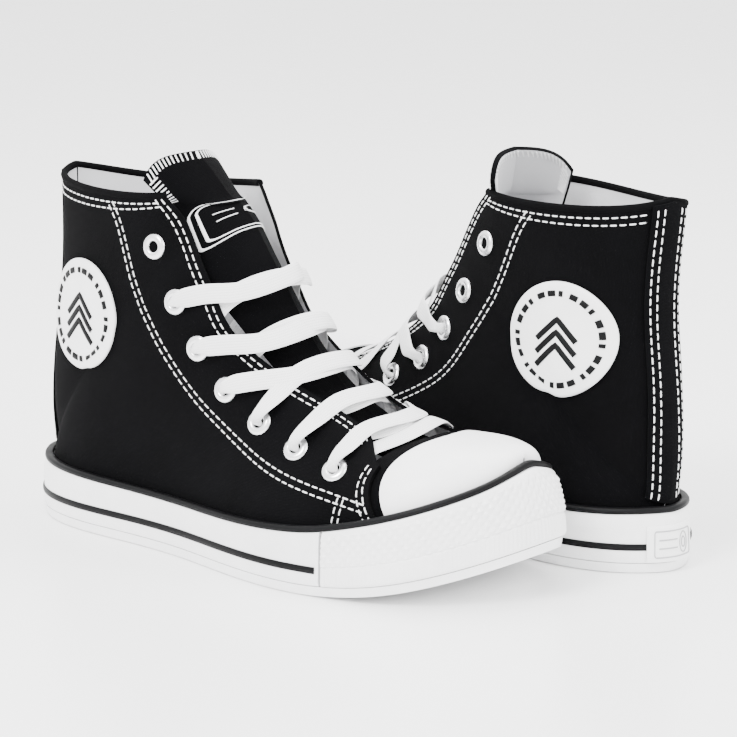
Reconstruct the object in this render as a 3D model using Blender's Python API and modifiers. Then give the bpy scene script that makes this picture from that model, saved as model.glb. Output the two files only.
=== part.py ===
"""A pair of canvas high-top lace-up shoes with rubber soles, standing side by side.

Each shoe is designed in its own frame, in millimetres: X from the back of the heel to the toe,
Y to the lateral side, Z up from the floor. The left shoe has its medial side at -Y. The right
shoe is the left one mirrored. Both are then turned and moved to where they stand.
"""
import math

import bpy
import numpy as np
from mathutils import Vector

MM = 0.001

# ---------------------------------------------------------------- driving dimensions, mm
SOLE_LENGTH = 280.0
TOE_SPRING = 21.0
SPRING_START = 190.0
TUCK = 6.0              # how far the upper runs down behind the sole's wall
UPPER_INSET = 7.2       # from the sole's outline to the vamp's outer face
WALL_LEAN = 1.5         # the sole's wall leans in by this much at its top
TOE_LEAN = 8.5          # and by this much more at the tip of the toe
WALL_INSIDE = 4.2       # from the sole's outline to the inner face of its wall
OUTSOLE_THICK = 4.0
MIDSOLE_THICK = 8.7
BUMPER_PROUD = 0.7      # how far the toe bumper stands out from the rest of the wall
STRIPE_HEIGHTS = (9.8, 12.6)
PIPING_HEIGHT = 2.4
GAP = 0.3               # clearance between bonded layers
PATCH_RADIUS = 24.5
LACE_RADIUS = 1.1
HEEL_STAY_HALF = 9.0

# where the two shoes stand: centre of the sole, x, y, and the direction it points
LEFT_PLACE = (-33.6, -47.7, -37.6)
RIGHT_PLACE = (49.9, 22.3, 125.4)

# The sole's outline from the toe tip to the back of the heel, on each side. Places on it are
# called stations; wherever the upper is concerned they run on up the heel.
MEDIAL = [(280, 3), (275, -12), (262, -27), (238, -44), (208, -51), (185, -53), (150, -48),
          (115, -39), (80, -34), (45, -30), (19, -19), (6.5, -5), (3, 6)]
LATERAL = [(280, 3), (277, 17), (262, 33), (236, 45), (205, 50), (175, 50), (140, 45),
           (105, 41), (75, 39), (45, 37), (19, 29), (6.5, 16.5), (3, 6)]
HEEL = 12               # station at the back of the heel, where the outline ends
COLLAR = 17             # station of the collar's edge
# Height of the top of the sole's wall at each station.
WALL_TOP = [57.0, 54.8, 48.3, 39.3, 31.2, 27.8, 25.8, 25.3, 25.8, 26.6, 27.4, 28, 28]

# The upper is a fan of cross-sections. The first eleven start at the outline, the others on the
# heel's centre line. Each ends on the ridge over the instep.
RIDGE = [(264.3, 57.5), (263.3, 59), (257.5, 60), (243, 60.3), (222, 60.3), (205, 63.5), (186, 73),
         (169, 87), (157, 102), (147, 117), (139, 129), (133, 138), (129, 144), (125.5, 148),
         (122.5, 151), (120, 153), (118, 154.5), (116, 156), (110, 165), (103, 175)]
HEEL_LINE = [(10.4, 6.2, 27), (10.2, 6.5, 45), (12.5, 7.2, 75), (16.5, 7.8, 105), (17, 9, 132),
             (15.5, 10.5, 157), (15.5, 10.5, 171), (15.5, 10.5, 184)]
# How each cross-section leaves its lower end: how far, at what angle from upright, in which
# direction from straight ahead, and how much higher.
RISE = [3, 6, 10, 14, 17, 19, 22, 26, 28, 29, 28.5, 29, 28, 26.5, 25.5, 25.5, 25.5, 25.5, 25.5, 25]
LEAN = [0, 0, 0, 0, 0, 0, 0, 0, 2, 10, 23, 43, 63, 79, 88, 90, 90, 90, 90, 90]
HEADING = [0, 0, 0, 0, 0, 0, 0, 0, 8, 22, 40, 58, 72, 83, 89, 90, 90, 90, 90, 90]
LIFT = [0, 0, 0, 0, 0, 0, 0, 0, 0, 0, 0, 0, 0, 1, 2, 0, -2, -5, -5, -5]
# Its middle: the mix of its two ends, how far above that, and its half-width.
MIX = [0.5, 0.3, 0.25, 0.22, 0.25, 0.3, 0.32, 0.33, 0.34, 0.35, 0.36, 0.38, 0.4, 0.42, 0.42, 0.42,
       0.42, 0.42, 0.42, 0.42]
BULGE = [0, 6, 11, 18, 19, 18, 21, 23, 25, 28, 22, 16, 12, 6, 2, -2, -5, -7, -7, -7]
WIDTH = [0.3, 9, 20, 32, 37, 39, 37, 34.5, 31.5, 29.8, 29, 28.4, 27.5, 26.2, 25, 24, 23.5, 23, 22,
         21]
# How it meets the ridge: half-width, and how far behind and below it.
CROWN = [0.5, 6, 11, 19, 24, 28, 31, 36, 41, 46, 48, 49, 49, 49, 49, 49, 49, 49, 47, 44]
PULL_X = [0, 1, 1, 1, 2, 3, 5, 8, 11, 13, 13, 12, 11, 10, 10, 10, 10, 10, 9, 8]
PULL_Z = [0, 0, 0, 0, 0, 0.5, 1.5, 3, 4, 5, 5, 5, 4, 4, 4, 4, 4, 4, 3, 3]
# How far the shaft leans out to the lateral side, where its flap stands open.
FLARE = [0, 0, 0, 0, 0, 0, 0, 0, 0, 0.2, 0.6, 1.3, 2.2, 3.2, 4.3, 5.4, 6.4, 7.2, 7.6, 7.8]

# Side view places (x, z) of the eyelets, from the collar down, and of the flaps' front edges.
EYELETS = [(93, 131), (106, 108.5), (119, 90), (135, 74), (155, 62.5), (177, 54.5), (199, 49)]
FLAP_EDGE = [(219, 52), (205, 59), (186, 67.5), (164, 78), (147, 88), (133, 99), (126, 109),
             (118, 122), (112, 133), (106, 143), (96, 153)]
OPEN_FROM = 95          # height where the lateral flap starts to stand further forward
OPEN_RATE = 0.15        # and how much further per mm of height
PATCH_PLACE = (48, 96)

# Radius and height of the corners of an eyelet's turned profile.
EYELET_PROFILE = [(2.4, 0.9), (4.0, 1.3), (5.6, 0.35), (2.95, 0.35), (2.95, -2.0), (2.4, -2.0)]
HOLE_RADIUS = 3.3
TONGUE_HINGE = (214.0, 3.5, 55.0)

# The lace from end to end: row, side, and whether it goes in through that eyelet or comes out.
LACING = [(2, -1, False), (3, 1, False), (4, -1, False), (5, 1, False), (6, -1, True),
          (7, 1, False), (7, -1, False), (6, 1, True), (5, -1, False), (4, 1, True),
          (3, -1, True), (2, 1, True)]
# The strands that pass over the one they cross: from row, to row, starting side.
HIGH_STRANDS = {(2, 3, -1), (3, 4, 1), (5, 6, 1), (7, 6, -1), (5, 4, -1)}

# Layers, as distances from the vamp's outer face along its normal: (inner, outer).
VAMP = (-1.6, 0.0)
FLAP = (0.6, 2.2)
TOE_CAP = (0.6, 2.2)
STAY = (2.8, 4.0)
PATCH = (2.8, 4.4)
TONGUE = (-7.4, -5.0)
LACE_OVER = 5.6         # a strand over a flap
LACE_HIGH = 5.8         # the upper of two strands that cross over the tongue
LACE_LOW = 2.4          # the lower one
LACE_UNDER = -1.2       # a strand between a flap and the tongue
LACE_TAIL = -2.6        # a tail tucked in along the flap's inner face

UP = np.array([0.0, 0.0, 1.0])
MIDDLE = 3.5            # y of the instep's ridge
TONGUE_SWAY = -6.0      # how far the tongue's top leans to the medial side


# ---------------------------------------------------------------- curves
class Spline:
    """A natural cubic spline through values at increasing parameters."""

    def __init__(self, params, values):
        self.t = np.array(params, float)
        self.p = np.array(values, float)
        n = len(self.t)
        h = np.diff(self.t)
        slope = (np.diff(self.p, axis=0).T / h).T
        a = np.eye(n)
        b = np.zeros_like(self.p)
        for i in range(1, n - 1):
            a[i, i - 1:i + 2] = h[i - 1], 2 * (h[i - 1] + h[i]), h[i]
            b[i] = 6 * (slope[i] - slope[i - 1])
        self.m = np.linalg.solve(a, b)

    def __call__(self, t):
        i = int(np.clip(np.searchsorted(self.t, t) - 1, 0, len(self.t) - 2))
        h = self.t[i + 1] - self.t[i]
        a = (self.t[i + 1] - t) / h
        b = 1 - a
        bend = ((a ** 3 - a) * self.m[i] + (b ** 3 - b) * self.m[i + 1]) * h * h / 6
        return a * self.p[i] + b * self.p[i + 1] + bend


def by_station(values):
    return Spline(range(len(values)), values)


LOOP_POINTS = MEDIAL + LATERAL[-2:0:-1]
LOOP_COUNT = len(LOOP_POINTS)


def make_loop():
    """The outline as a closed curve, with three extra points at each end to close it smoothly."""
    points = np.array(LOOP_POINTS[-3:] + LOOP_POINTS + LOOP_POINTS[:4], float)
    length = np.concatenate([[0], np.cumsum(np.linalg.norm(np.diff(points, axis=0), axis=1))])
    return Spline(length, points), Spline(range(-3, LOOP_COUNT + 4), length)


LOOP, LOOP_LENGTH = make_loop()


def outline(t, inset=0.0):
    """A point of the outline, moved in by inset. t is 0 at the toe tip and 12 at the heel."""
    t = t % LOOP_COUNT
    here = LOOP(LOOP_LENGTH(t))
    step = LOOP(LOOP_LENGTH(t + 0.02)) - LOOP(LOOP_LENGTH(t - 0.02))
    inward = np.array([step[1], -step[0]]) / np.linalg.norm(step)
    return here + inward * inset


def mirror_station(t):
    """The station of a place on the closed outline, on whichever side it lies."""
    t = t % LOOP_COUNT
    return t if t <= HEEL else LOOP_COUNT - t


wall_top_at = Spline(range(-3, HEEL + 1), WALL_TOP[3:0:-1] + WALL_TOP)
ridge_at = by_station(RIDGE)
shape_at = by_station(list(zip(RISE, LEAN, HEADING, LIFT, MIX, BULGE, WIDTH, CROWN, PULL_X,
                               PULL_Z, FLARE)))


def spring(x):
    """How high the sole's underside is at x: flat to the ball, then curving up to the toe."""
    return TOE_SPRING * max(0.0, (x - SPRING_START) / (SOLE_LENGTH - SPRING_START)) ** 2


def above_outsole(x):
    return spring(x) + OUTSOLE_THICK + GAP


def wall_top(t):
    return float(wall_top_at(mirror_station(t)))


def toe_lean(t):
    """How much further the wall leans in than it does along the sides."""
    return TOE_LEAN * math.exp(-(mirror_station(t) / 1.7) ** 2)


def lower_edge(side):
    """The upper's lower edge and then its heel line, as one smooth curve over the stations."""
    stations = list(np.arange(0, 10.6, 0.5))
    points = []
    for u in stations:
        x, y = outline(u if side < 0 else LOOP_COUNT - u, UPPER_INSET + toe_lean(u))
        points.append((x, y, wall_top(u) - TUCK))
    return Spline(stations + list(range(HEEL, HEEL + len(HEEL_LINE))), points + HEEL_LINE)


LOWER_EDGE = {side: lower_edge(side) for side in (-1, 1)}


# ---------------------------------------------------------------- the upper's surface
def section(u, side):
    """The five control points of the cross-section at station u; side is -1 on the medial side."""
    (rise, lean, heading, lift, mix, bulge, width, crown, pull_x, pull_z, flare) = shape_at(u)
    ridge_x, ridge_z = ridge_at(u)
    ridge = np.array([ridge_x, MIDDLE, ridge_z])
    base = LOWER_EDGE[side](u)
    out, ahead = math.radians(lean), math.radians(heading)
    leave = np.array([math.sin(out) * math.cos(ahead), side * math.sin(out) * math.sin(ahead),
                      math.cos(out)])
    start = base + rise * leave + lift * UP
    middle = base * (1 - mix) + ridge * mix + bulge * UP
    if side > 0:
        middle[1] = MIDDLE + width + 0.45 * flare
        middle[2] -= 0.3 * flare
        end = ridge + np.array([0.6 * flare - pull_x, crown + flare, -pull_z])
    else:
        middle[1] = MIDDLE - width + 0.2 * flare
        end = ridge + np.array([-pull_x, 0.5 * flare - crown, -pull_z])
    return base, start, middle, end, ridge


def on_section(points, v):
    w = 1 - v
    weights = (w ** 4, 4 * w ** 3 * v, 6 * w * w * v * v, 4 * w * v ** 3, v ** 4)
    return sum(k * p for k, p in zip(weights, points))


def upper(u, v, side, off=0.0):
    """A point on the upper, v from 0 at its lower edge or heel line to 1 on the ridge."""
    here = on_section(section(u, side), v)
    if off == 0.0:
        return here
    step = 0.02
    across = on_section(section(u, side), min(v + step, 1.0)) - \
        on_section(section(u, side), max(v - step, 0.0))
    along = on_section(section(u + step, side), v) - on_section(section(u - step, side), v)
    normal = np.cross(across, along) * -side
    if v > 0.999:
        normal[1] = 0.0
    return here + normal / np.linalg.norm(normal) * off


def find(x, z, side):
    """The station and v of the place that looks like (x, z) from the side."""
    best = None
    for u in np.arange(2.0, COLLAR + 0.5, 0.25):
        points = section(u, side)
        for v in np.arange(0.05, 1.0, 0.05):
            p = on_section(points, v)
            miss = (p[0] - x) ** 2 + (p[2] - z) ** 2
            if best is None or miss < best[0]:
                best = (miss, u, v)
    _, u, v = best
    for _ in range(12):
        here = upper(u, v, side)
        du = (upper(u + 0.01, v, side) - here) / 0.01
        dv = (upper(u, v + 0.01, side) - here) / 0.01
        jacobian = np.array([[du[0], dv[0]], [du[2], dv[2]]])
        step = np.linalg.solve(jacobian, [x - here[0], z - here[2]])
        u += float(np.clip(step[0], -0.3, 0.3))
        v += float(np.clip(step[1], -0.05, 0.05))
    return u, v


def find_opened(x, z, side):
    """The same for a place on a flap; the upper part of the lateral one stands open, forward."""
    if side > 0:
        x += OPEN_RATE * max(0.0, z - OPEN_FROM)
    return find(x, z, side)


def flap_curve(side):
    """The flap's front edge as v against station, from its side view."""
    places = sorted(find_opened(x, z, side) for x, z in FLAP_EDGE)
    return Spline([u for u, _ in places], [v for _, v in places]), places[0][0], places[-1][0]


EDGES = {side: flap_curve(side) for side in (-1, 1)}


def flap_v(u, side):
    """Where the flap ends on the cross-section at station u."""
    curve, first, last = EDGES[side]
    return float(curve(min(max(u, first), last)))


def arch(u, a, off):
    """A point on the upper, a from -1 at the medial edge over 0 on the ridge to 1 lateral."""
    side = -1 if a < 0 else 1
    return upper(u, 1 - abs(a), side, off)


def tongue_point(u, a, off):
    """A point on the tongue, which has the medial half's shape on both sides of the ridge."""
    x, y, z = upper(u, 1 - abs(a), -1, off)
    sway = TONGUE_SWAY * max(0.0, (u - 15) / 4) ** 2
    return (x, (y if a < 0 else 2 * MIDDLE - y) + sway, z)


SPOTS = {side: [find_opened(x, z, side) for x, z in EYELETS] for side in (-1, 1)}


# ---------------------------------------------------------------- making solids
def clear_scene():
    for item in list(bpy.data.objects):
        bpy.data.objects.remove(item, do_unlink=True)


def new_collection(name):
    group = bpy.data.collections.new(name)
    bpy.context.scene.collection.children.link(group)
    return group


def material(name, color, roughness, metallic=0.0):
    made = bpy.data.materials.new(name)
    made.use_nodes = True
    shader = made.node_tree.nodes["Principled BSDF"]
    shader.inputs["Base Color"].default_value = (*color, 1.0)
    shader.inputs["Roughness"].default_value = roughness
    shader.inputs["Metallic"].default_value = metallic
    return made


class Shoe:
    """One shoe: its name, the empty that places it, and whether it is mirrored."""

    def __init__(self, name, place, mirrored):
        x, y, turn = place
        self.name = name
        self.flip = -1.0 if mirrored else 1.0
        self.stand = bpy.data.objects.new(name + "_stand", None)
        self.stand.location = (x * MM, y * MM, 0.0)
        self.stand.rotation_euler = (0.0, 0.0, math.radians(turn))
        PARTS.objects.link(self.stand)

    def at(self, point):
        """A point of the design in the shoe's own frame, in metres from the sole's centre."""
        x, y, z = point
        return Vector(((x - SOLE_LENGTH / 2) * MM, y * MM * self.flip, z * MM))

    def add(self, name, data, finish):
        item = bpy.data.objects.new(f"{self.name}_{name}", data)
        item.data.materials.append(finish)
        item.parent = self.stand
        PARTS.objects.link(item)
        return item

    def solid(self, name, points, faces, finish, pivot=(SOLE_LENGTH / 2, 0.0, 0.0)):
        """A closed solid from design points and faces, with its origin at pivot."""
        mesh = bpy.data.meshes.new(f"{self.name}_{name}")
        origin = self.at(pivot)
        placed = [self.at(p) - origin for p in points]
        order = faces if self.flip > 0 else [face[::-1] for face in faces]
        mesh.from_pydata(placed, [], order)
        mesh.shade_smooth()
        mesh.set_sharp_from_angle(angle=math.radians(40))
        item = self.add(name, mesh, finish)
        item.location = origin
        return item

    def shell(self, name, outer, inner, finish, **where):
        """A loft between two grids of points, outer and inner, closed around its border."""
        rows, cols = len(outer), len(outer[0])
        points = [p for row in outer for p in row] + [p for row in inner for p in row]
        back = rows * cols

        def at(r, c):
            return r * cols + c

        faces = []
        for r in range(rows - 1):
            for c in range(cols - 1):
                quad = [at(r, c), at(r, c + 1), at(r + 1, c + 1), at(r + 1, c)]
                faces.append(quad)
                faces.append([back + i for i in quad[::-1]])
        border = [at(0, c) for c in range(cols)] + [at(r, cols - 1) for r in range(1, rows)]
        border += [at(rows - 1, c) for c in range(cols - 2, -1, -1)]
        border += [at(r, 0) for r in range(rows - 2, 0, -1)]
        for i, j in zip(border, border[1:] + border[:1]):
            faces.append([j, i, back + i, back + j])
        return self.solid(name, points, faces, finish, **where)

    def band(self, name, sections, finish, closed=False):
        """A loft through closed cross-sections; it joins up with itself when closed."""
        count, sides = len(sections), len(sections[0])
        points = [p for ring in sections for p in ring]
        faces = []
        for r in range(count if closed else count - 1):
            n = (r + 1) % count
            for c in range(sides):
                d = (c + 1) % sides
                faces.append([r * sides + d, r * sides + c, n * sides + c, n * sides + d])
        if not closed:
            faces.append(list(range(sides)))
            faces.append([(count - 1) * sides + c for c in range(sides - 1, -1, -1)])
        return self.solid(name, points, faces, finish)


def spread(first, last, count):
    return [float(v) for v in np.linspace(first, last, count)]


# ---------------------------------------------------------------- the sole
def deck(shoe, name, inset, low, high, finish, first=0.25, last=11.75, rows=22):
    """A flat layer that fills the outline. low and high give its faces' heights at x."""
    outer, inner = [], []
    for t in spread(first, last, rows):
        ends = outline(t, inset), outline(LOOP_COUNT - t, inset)
        line = [ends[0] * (1 - k) + ends[1] * k for k in (0.0, 0.5, 1.0)]
        outer.append([(x, y, high(x)) for x, y in line])
        inner.append([(x, y, low(x)) for x, y in line])
    return shoe.shell(name, outer, inner, finish)


def wall_inset(t, z):
    """The inset of the sole wall's outer face at height z: it leans in towards its top."""
    low = above_outsole(outline(t)[0])
    return (WALL_LEAN + toe_lean(t)) * ((z - low) / (wall_top(t) - low)) ** 2


def wall_section(t, proud=0.0):
    """The sole's wall cut across at t, its inner face upright to just above the midsole."""
    low = above_outsole(outline(t)[0])
    high = wall_top(t) - PIPING_HEIGHT - GAP
    middle = low + MIDSOLE_THICK + 1.0
    inner = [(WALL_INSIDE, low), (WALL_INSIDE, middle), (WALL_INSIDE + toe_lean(t), high)]
    outer = [(wall_inset(t, z) - proud, z) for z in (high, (high + middle) / 2, middle, low)]
    return [(*outline(t, inset), z) for inset, z in inner + outer]


def make_outsole(shoe):
    def low(x):
        return spring(x)

    def high(x):
        return spring(x) + OUTSOLE_THICK

    deck(shoe, "outsole", 0.4, low, high, WHITE_RUBBER, 0.12, 11.88, 24)


def make_foxing(shoe):
    stations = spread(4.22, LOOP_COUNT - 4.22, 36)
    sections = [wall_section(t) for t in stations]
    shoe.band("foxing_strip", sections, WHITE_RUBBER)


def make_bumper(shoe):
    stations = spread(-4.15, 4.15, 29)
    sections = [wall_section(t, BUMPER_PROUD) for t in stations]
    shoe.band("toe_bumper", sections, WHITE_RUBBER)


def make_piping(shoe):
    def section_at(t):
        top = wall_top(t)
        low = top - PIPING_HEIGHT
        edge, soft, inner = (outline(t, inset + toe_lean(t)) for inset in (1.0, 1.8, WALL_INSIDE))
        return [(*edge, low), (*inner, low), (*inner, top), (*soft, top), (*edge, top - 0.8)]

    shoe.band("upper_pinstripe", [section_at(t) for t in spread(0, 23.4, 40)], BLACK_RUBBER, True)


def make_stripe(shoe):
    """The thin black band that lies on the sole's wall, from the bumper round the heel."""
    def section_at(t):
        low, high = STRIPE_HEIGHTS
        corners = [(-0.7, low), (-GAP / 2, low), (-GAP / 2, high), (-0.7, high)]
        return [(*outline(t, wall_inset(t, z) + inset), z) for inset, z in corners]

    sections = [section_at(t) for t in spread(4.32, LOOP_COUNT - 4.32, 36)]
    shoe.band("lower_pinstripe", sections, BLACK_RUBBER)


def make_label(shoe):
    def section_at(t):
        (a, b), (c, d) = (outline(t, -1.0), outline(t, -2.0)), (outline(t, -0.2), outline(t, -1.2))
        return [(*b, 4.6), (*a, 4.6), (*c, 20.5), (*d, 20.5)]

    shoe.band("heel_label", [section_at(t) for t in spread(10.95, 13.05, 9)], WHITE_RUBBER)


def make_midsole(shoe):
    def high(x):
        return above_outsole(x) + MIDSOLE_THICK

    deck(shoe, "midsole", WALL_INSIDE + 0.5, above_outsole, high, WHITE_RUBBER, 0.3, 11.7, 14)


def make_insole(shoe):
    def low(x):
        return above_outsole(x) + MIDSOLE_THICK + GAP

    def high(x):
        return above_outsole(x) + MIDSOLE_THICK + 3.5

    deck(shoe, "insole", 10.0, low, high, CANVAS_LIGHT, 0.5, 11.6, 14)


# ---------------------------------------------------------------- the upper
def cap_edge(a):
    """The station of the toe cap's rear edge, further forward down the sides."""
    return 3.15 + 0.6 * (1 - a * a)


def make_toe_cap(shoe):
    def grid(off):
        rows = []
        for k in spread(0, 1, 9):
            rows.append([arch(0.35 + (cap_edge(a) - 0.35) * k, a, off)
                         for a in spread(-1, 1, 15)])
        return rows

    shoe.shell("toe_cap", grid(TOE_CAP[1]), grid(TOE_CAP[0]), WHITE_RUBBER)


def make_vamp(shoe):
    def grid(off):
        return [[arch(u, a, off) for a in spread(-1, 1, 15)] for u in spread(0.6, 4.1, 9)]

    shoe.shell("vamp", grid(VAMP[1]), grid(VAMP[0]), CANVAS_BLACK)


def make_tongue(shoe):
    def grid(off):
        rows = []
        for k in spread(0, 1, 15):
            row = []
            for a in spread(-1, 1, 9):
                u = 4.0 + k * (14.9 - 1.1 * abs(a) ** 3)
                row.append(tongue_point(u, a * (0.2 + 0.03 * k), off))
            rows.append(row)
        return rows

    shoe.shell("tongue", grid(TONGUE[1]), grid(TONGUE[0]), CANVAS_BLACK, pivot=TONGUE_HINGE)


def quarter_grid(side, off):
    rows = []
    for k in spread(0, 1, 24):
        row = []
        for m in spread(0, 1, 9):
            start = cap_edge(1 - 0.6 * m) + 0.12
            u = start + (COLLAR - start) * k
            v = 0.004 + (flap_v(u, side) - 0.004) * m
            row.append(upper(u, v, side, off))
        rows.append(row)
    return rows if side > 0 else [row[::-1] for row in rows]


def drill(shoe, target, side):
    """Cut the seven lace holes of a quarter."""
    for index, spot in enumerate(SPOTS[side]):
        bpy.ops.mesh.primitive_cylinder_add(vertices=10, radius=HOLE_RADIUS * MM, depth=10 * MM)
        cutter = bpy.context.active_object
        cutter.name = f"{target.name}_hole_{index + 1}"
        bpy.context.collection.objects.unlink(cutter)
        CUTTERS.objects.link(cutter)
        cutter.parent = shoe.stand
        cutter.location, cutter.rotation_euler = eyelet_frame(shoe, spot, side)
        cutter.hide_render = True
        cutter.display_type = "WIRE"
        cut = target.modifiers.new(f"hole_{index + 1}", "BOOLEAN")
        cut.object = cutter
        cut.operation = "DIFFERENCE"


def make_quarter(shoe, name, side):
    outer, inner = quarter_grid(side, FLAP[1]), quarter_grid(side, FLAP[0])
    quarter = shoe.shell(name, outer, inner, CANVAS_BLACK)
    drill(shoe, quarter, side)


def make_heel_stay(shoe):
    def grid(off):
        rows = []
        for u in spread(12.35, COLLAR - 0.03, 12):
            row = []
            for a in spread(-1, 1, 7):
                side = -1 if a < 0 else 1
                v = abs(a) * HEEL_STAY_HALF / (4 * shape_at(u)[0])
                row.append(upper(u, max(v, 0.001), side, off))
            rows.append(row)
        return [row[::-1] for row in rows]

    shoe.shell("heel_stay", grid(STAY[1]), grid(STAY[0]), CANVAS_BLACK)


def make_patch(shoe):
    """A round badge that follows the medial quarter."""
    turns = 20
    x, z = PATCH_PLACE
    points = []
    for off in (PATCH[1], PATCH[0]):
        points.append(upper(*find(x, z, -1), -1, off))
        for radius in (0.5, 1.0):
            for k in range(turns):
                angle = math.tau * k / turns
                px = x + PATCH_RADIUS * radius * math.cos(angle)
                pz = z + PATCH_RADIUS * radius * math.sin(angle)
                points.append(upper(*find(px, pz, -1), -1, off))
    back = 1 + 2 * turns
    faces = []
    for k in range(turns):
        n = (k + 1) % turns
        a, b = 1 + k, 1 + n
        c, d = a + turns, b + turns
        for quad in ([0, a, b], [a, c, d, b]):
            faces.append(quad)
            faces.append([back + i for i in quad[::-1]])
        faces.append([c, back + c, back + d, d])
    shoe.solid("ankle_patch", points, faces, WHITE_RUBBER)


# ---------------------------------------------------------------- eyelets and lace
def eyelet_frame(shoe, spot, side):
    """Where an eyelet sits on its flap's outer face, and the turn that points it outwards."""
    place = shoe.at(upper(*spot, side, FLAP[1]))
    tip = shoe.at(upper(*spot, side, FLAP[1] + 1.0))
    return place, (tip - place).to_track_quat("Z", "Y").to_euler()


def make_eyelets(shoe):
    mesh = bpy.data.meshes.new(shoe.name + "_eyelet")
    corners = [(r * MM, 0.0, z * MM) for r, z in EYELET_PROFILE]
    count = len(corners)
    mesh.from_pydata(corners, [(i, (i + 1) % count) for i in range(count)], [])
    mesh.materials.append(NICKEL)
    for side, word in ((-1, "medial"), (1, "lateral")):
        for index, spot in enumerate(SPOTS[side]):
            item = bpy.data.objects.new(f"{shoe.name}_eyelet_{word}_{index + 1}", mesh)
            PARTS.objects.link(item)
            item.parent = shoe.stand
            item.location, item.rotation_euler = eyelet_frame(shoe, spot, side)
            turn = item.modifiers.new("turn", "SCREW")
            turn.axis = "Z"
            turn.steps = 10
            turn.render_steps = 10
            turn.use_merge_vertices = True
            turn.merge_threshold = 0.00001


def strand(start, end, level):
    """The points between two eyelets. Each end is (row, side, over), over or under its flap."""
    spots = [SPOTS[side][row - 1] for row, side, _ in (start, end)]
    middle_u = (spots[0][0] + spots[1][0]) / 2
    halves = []
    for (row, side, over), (u, v) in zip((start, end), spots):
        past_edge = flap_v(u, side) + 0.04
        off = LACE_OVER if over else LACE_UNDER
        halves.append([upper(u + (middle_u - u) * share, v + (past_edge - v) * share, side, off)
                       for share in (0.5, 1.0)])
    return halves[0] + [arch(middle_u, 0.0, level)] + halves[1][::-1]


def through(row, side, inward):
    """The lace's points through an eyelet, going in or coming out."""
    ends = [upper(*SPOTS[side][row - 1], side, off) for off in (LACE_OVER, LACE_UNDER)]
    return ends if inward else ends[::-1]


def tail(row, side):
    """A loose end that runs down inside the shoe from its last eyelet."""
    x, z = EYELETS[row - 1]
    drops = [(10, 14), (24, 32), (38, 52)]
    return [upper(*find(x - dx, z - dz, side), side, LACE_TAIL) for dx, dz in drops]


def lace_route(first_row):
    """The whole lace, as points of the design."""
    stops = [stop for stop in LACING if stop[0] >= first_row]
    route = tail(*stops[0][:2])[::-1]
    for index, (row, side, inward) in enumerate(stops):
        route += through(row, side, inward)
        if index + 1 < len(stops):
            after = stops[index + 1]
            level = LACE_HIGH if (row, after[0], side) in HIGH_STRANDS else LACE_LOW
            route += strand((row, side, not inward), after, level)
    return route + tail(*stops[-1][:2])


def make_lace(shoe, first_row):
    route = lace_route(first_row)
    curve = bpy.data.curves.new(f"{shoe.name}_lace", "CURVE")
    curve.dimensions = "3D"
    curve.bevel_depth = LACE_RADIUS * MM
    curve.bevel_resolution = 2
    curve.use_fill_caps = True
    line = curve.splines.new("POLY")
    line.points.add(len(route) - 1)
    for point, place in zip(line.points, route):
        point.co = (*shoe.at(place), 1.0)
    shoe.add("lace", curve, COTTON)


# ---------------------------------------------------------------- the whole pair
clear_scene()
PARTS = new_collection("canvas_high_top_pair")
CUTTERS = new_collection("cutters")
WHITE_RUBBER = material("white_rubber", (0.9, 0.9, 0.9), 0.35)
BLACK_RUBBER = material("black_rubber", (0.02, 0.02, 0.02), 0.4)
CANVAS_BLACK = material("black_canvas", (0.015, 0.015, 0.017), 0.9)
CANVAS_LIGHT = material("light_lining", (0.75, 0.75, 0.76), 0.9)
NICKEL = material("nickel", (0.8, 0.8, 0.8), 0.25, 1.0)
COTTON = material("white_cotton", (0.92, 0.92, 0.92), 0.85)


def make_shoe(name, place, mirrored, first_row):
    shoe = Shoe(name, place, mirrored)
    make_outsole(shoe)
    make_foxing(shoe)
    make_bumper(shoe)
    make_piping(shoe)
    make_stripe(shoe)
    make_label(shoe)
    make_midsole(shoe)
    make_insole(shoe)
    make_toe_cap(shoe)
    make_vamp(shoe)
    make_tongue(shoe)
    make_quarter(shoe, "quarter_medial", -1)
    make_quarter(shoe, "quarter_lateral", 1)
    make_heel_stay(shoe)
    make_patch(shoe)
    make_eyelets(shoe)
    make_lace(shoe, first_row)


make_shoe("left", LEFT_PLACE, False, 2)
make_shoe("right", RIGHT_PLACE, True, 3)
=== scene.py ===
"""The looks of a pair of canvas high-top shoes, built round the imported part.

Each shoe is designed in its own frame, in millimetres: X from the back of the heel to the toe,
Y to the lateral side, Z up from the floor. The right shoe is the left one mirrored.
"""
import math
from functools import lru_cache

import bpy
import numpy as np
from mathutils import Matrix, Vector


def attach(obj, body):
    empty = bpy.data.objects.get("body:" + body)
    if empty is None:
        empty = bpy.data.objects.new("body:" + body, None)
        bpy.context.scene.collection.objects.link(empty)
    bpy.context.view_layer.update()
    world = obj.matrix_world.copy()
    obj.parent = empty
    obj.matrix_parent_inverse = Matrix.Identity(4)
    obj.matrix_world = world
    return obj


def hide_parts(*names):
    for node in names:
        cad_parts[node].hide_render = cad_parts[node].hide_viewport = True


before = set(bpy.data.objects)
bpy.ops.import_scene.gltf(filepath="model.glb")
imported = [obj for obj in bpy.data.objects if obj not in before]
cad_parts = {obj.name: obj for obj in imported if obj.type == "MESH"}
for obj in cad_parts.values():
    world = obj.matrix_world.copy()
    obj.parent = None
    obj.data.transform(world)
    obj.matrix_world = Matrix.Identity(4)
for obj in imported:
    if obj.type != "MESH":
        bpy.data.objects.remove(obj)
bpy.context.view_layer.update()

MM = 0.001

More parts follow.
